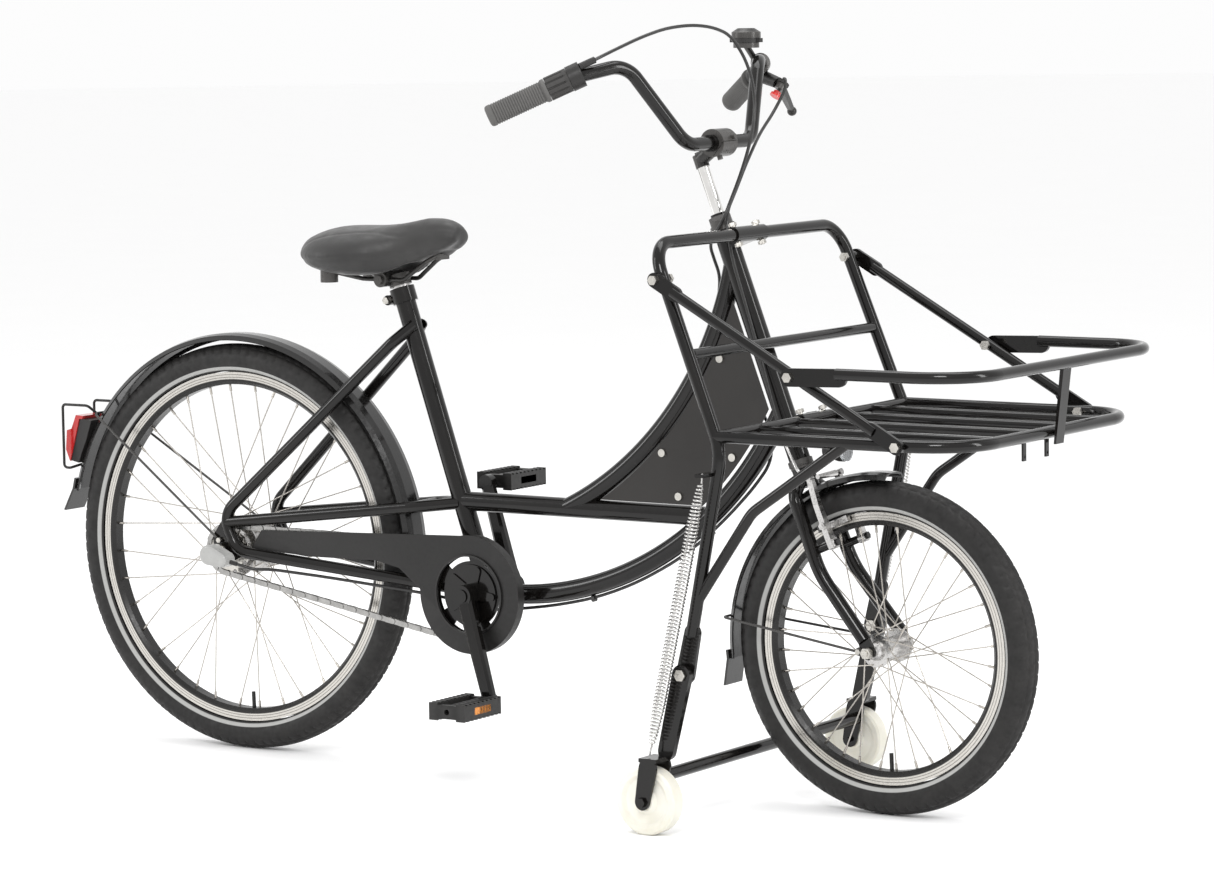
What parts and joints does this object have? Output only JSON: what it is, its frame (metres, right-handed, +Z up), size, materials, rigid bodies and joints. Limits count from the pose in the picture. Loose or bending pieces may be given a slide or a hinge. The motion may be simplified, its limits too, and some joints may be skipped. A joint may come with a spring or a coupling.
{
  "type": "cargo bicycle",
  "caption": "Delivery bicycle with a tubular front carrier fixed to the frame, a small front wheel and a sprung parking stand on two rollers.",
  "frame": {"origin": "centre of the overall footprint at ground level", "axes": "+X forward, +Y to the rider's left, +Z up"},
  "size_m": [1.8666, 0.7002, 1.1686],
  "materials": {
    "black_paint": "gloss black paint over steel tube",
    "panel_grey": "satin dark grey lacquer",
    "bright_steel": "zinc plated bright steel",
    "chrome": "polished chrome",
    "black_metal": "satin black coating",
    "aluminium": "machined and anodised",
    "black_plastic": "fine moulded texture",
    "gloss_plastic": "smooth moulded",
    "grip_rubber": "soft ribbed rubber",
    "black_rubber": "matte rubber",
    "tyre_rubber": "worn-in tread rubber",
    "roller_nylon": "milky translucent nylon",
    "cable_jacket": "extruded cable jacket",
    "saddle_vinyl": "black synthetic leather",
    "red_lens": "moulded red lens",
    "red_plastic": "moulded red plastic"
  },
  "bodies": {
    "frame": {"head_tube": "black_paint", "headset": "black_metal", "seat_tube": "black_paint", "seat_clamp": "bright_steel", "bottom_bracket": "black_paint", "down_tube": "black_paint", "middle_tube": "black_paint", "upper_tube": "black_paint", "frame_panel": "panel_grey", "rear_stays": "black_paint", "rear_axle": "bright_steel", "shifter_box": "black_plastic", "chain_guard": "black_plastic", "chain": "bright_steel", "rear_mudguard": "gloss_plastic", "rear_mudguard_stays": "black_metal", "rear_lamp": "red_lens", "carrier_hoop": "black_paint", "cargo_platform": "black_paint", "carrier_struts": "black_paint", "carrier_railing": "black_paint", "frame_bolts": "bright_steel", "head_brackets": "black_paint", "frame_cable": "cable_jacket", "stand_springs": "bright_steel"},
    "steering": {"fork": "black_paint", "front_axle": "bright_steel", "front_mudguard": "gloss_plastic", "front_mudguard_stay": "black_metal", "headlamp": "black_plastic"},
    "bars": {"stem": "chrome", "handlebar": "black_paint", "grips": "grip_rubber", "control_housings": "black_plastic", "bell": "black_metal", "control_cables": "cable_jacket"},
    "bell_ring": {"bell_lever": "black_plastic"},
    "gear_grip": {"twist_shifter": "black_rubber"},
    "lever": {"brake_lever": "black_metal"},
    "lock_button": {"parking_lock": "red_plastic"},
    "right_brake": {"brake_arm_right": "aluminium"},
    "left_brake": {"brake_arm_left": "aluminium"},
    "front_wheel": {"front_tyre": "tyre_rubber", "front_rim": "aluminium", "front_spokes": "bright_steel", "front_hub": "aluminium"},
    "rear_wheel": {"rear_tyre": "tyre_rubber", "rear_rim": "aluminium", "rear_spokes": "bright_steel", "rear_hub": "aluminium"},
    "cranks": {"crankset": "black_metal"},
    "rear_sprocket": {"sprocket": "bright_steel"},
    "right_pedal": {"pedal_right": "black_plastic"},
    "left_pedal": {"pedal_left": "black_plastic"},
    "saddle": {"saddle_cover": "saddle_vinyl", "saddle_rails": "black_metal", "seat_post": "aluminium"},
    "stand": {"stand_frame": "black_paint"},
    "right_roller": {"roller_right": "roller_nylon"},
    "left_roller": {"roller_left": "roller_nylon"}
  },
  "joints": [
    {"name": "steering_turn", "type": "hinge", "parent": "frame", "child": "steering", "pos_m": [0.4748, 0, 0.521], "axis": [-0.3532, 0, 0.9355], "range_deg": [-35, 35], "deforming": ["control_cables"]},
    {"name": "handlebar_height", "type": "slide", "parent": "steering", "child": "bars", "axis": [-0.3532, 0, 0.9355], "range_m": [-0.03, 0.02]},
    {"name": "bell_ring_turn", "type": "hinge", "parent": "bars", "child": "bell_ring", "pos_m": [0.27081, 0.194, 1.1395], "axis": [0, 0, 1], "range_deg": [0, 40], "stiffness_Nm_per_rad": 0.1},
    {"name": "gear_grip_turn", "type": "hinge", "parent": "bars", "child": "gear_grip", "pos_m": [0.22559, -0.28545, 1.07809], "axis": [0.7476, 0.5277, 0.4031], "range_deg": [0, 110]},
    {"name": "brake_lever_pull", "type": "hinge", "parent": "bars", "child": "lever", "pos_m": [0.2968, 0.252, 1.066], "axis": [0.2571, 0.5771, 0.7752], "range_deg": [0, 25], "stiffness_Nm_per_rad": 1},
    {"name": "parking_lock_press", "type": "slide", "parent": "bars", "child": "lock_button", "axis": [-0.2571, -0.5771, -0.7752], "range_m": [0, 0.004]},
    {"name": "right_brake_swing", "type": "hinge", "parent": "steering", "child": "right_brake", "pos_m": [0.55604, -0.044, 0.40468], "axis": [-0.9212, 0, -0.3891], "range_deg": [0, 3.6], "stiffness_Nm_per_rad": 0.6},
    {"name": "left_brake_swing", "type": "hinge", "parent": "steering", "child": "left_brake", "pos_m": [0.55604, 0.044, 0.40468], "axis": [0.9212, 0, 0.3891], "range_deg": [0, 3.6], "stiffness_Nm_per_rad": 0.6},
    {"name": "front_wheel_spin", "type": "hinge", "parent": "steering", "child": "front_wheel", "pos_m": [0.62181, 0, 0.249], "axis": [0, 1, 0], "continuous": true},
    {"name": "rear_wheel_spin", "type": "hinge", "parent": "frame", "child": "rear_wheel", "pos_m": [-0.5712, 0, 0.33], "axis": [0, 1, 0], "continuous": true},
    {"name": "crank_turn", "type": "hinge", "parent": "frame", "child": "cranks", "pos_m": [-0.0932, 0, 0.288], "axis": [0, 1, 0], "continuous": true, "deforming": ["chain"]},
    {"name": "sprocket_turn", "type": "hinge", "parent": "frame", "child": "rear_sprocket", "pos_m": [-0.5712, 0, 0.33], "axis": [0, 1, 0], "continuous": true},
    {"name": "right_pedal_spin", "type": "hinge", "parent": "cranks", "child": "right_pedal", "pos_m": [-0.03723, -0.082, 0.12907], "axis": [0, 1, 0], "continuous": true},
    {"name": "left_pedal_spin", "type": "hinge", "parent": "cranks", "child": "left_pedal", "pos_m": [-0.14916, 0.082, 0.44693], "axis": [0, 1, 0], "continuous": true},
    {"name": "saddle_height", "type": "slide", "parent": "frame", "child": "saddle", "axis": [-0.3162, 0, 0.9487], "range_m": [0, 0.15]},
    {"name": "stand_fold", "type": "hinge", "parent": "frame", "child": "stand", "pos_m": [0.44181, 0, 0.235], "axis": [0, 1, 0], "range_deg": [0, 85], "deforming": ["stand_springs"]},
    {"name": "right_roller_spin", "type": "hinge", "parent": "stand", "child": "right_roller", "pos_m": [0.39381, -0.299, 0.05], "axis": [0, 1, 0], "continuous": true},
    {"name": "left_roller_spin", "type": "hinge", "parent": "stand", "child": "left_roller", "pos_m": [0.39381, 0.299, 0.05], "axis": [0, 1, 0], "continuous": true}
  ],
  "couplings": [
    {"joint": "right_brake_swing", "follows": "brake_lever_pull", "ratio": 0.144},
    {"joint": "left_brake_swing", "follows": "brake_lever_pull", "ratio": 0.144},
    {"joint": "sprocket_turn", "follows": "crank_turn", "ratio": 2}
  ]
}
